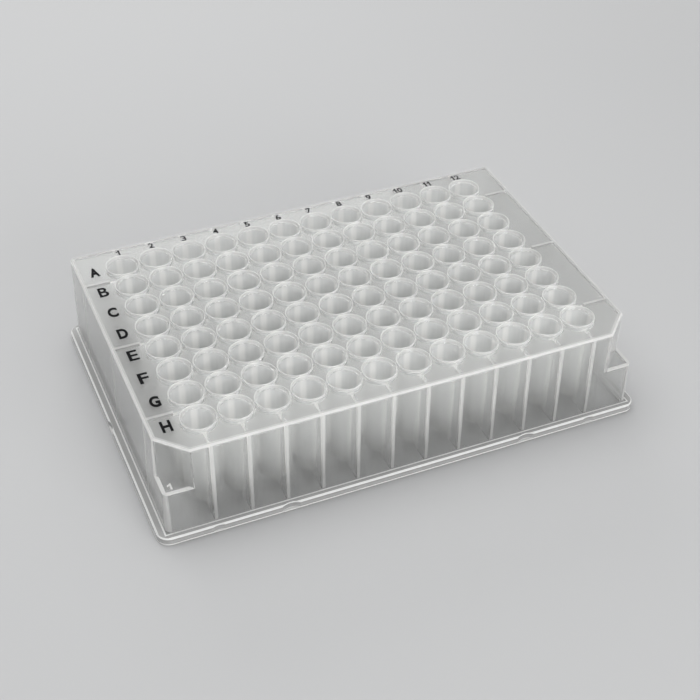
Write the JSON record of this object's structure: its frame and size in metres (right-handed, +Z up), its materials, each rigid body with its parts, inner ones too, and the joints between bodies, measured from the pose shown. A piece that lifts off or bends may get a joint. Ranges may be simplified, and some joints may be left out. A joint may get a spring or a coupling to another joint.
{
  "type": "deep-well plate",
  "caption": "Translucent deep-well microplate: round open wells with raised rims in one moulded block, low base flange, ribbed hollow underside and two cut corners.",
  "frame": {"origin": "middle of the footprint, on the lower face of the base flange", "axes": "+X along the rows from column 1 to column 12, +Y from row H to row A, +Z up out of the wells"},
  "size_m": [0.1278, 0.0854, 0.027],
  "materials": {
    "plate": "satin",
    "ink": "matte"
  },
  "bodies": {
    "root": {"plate": "plate"}
  },
  "joints": []
}
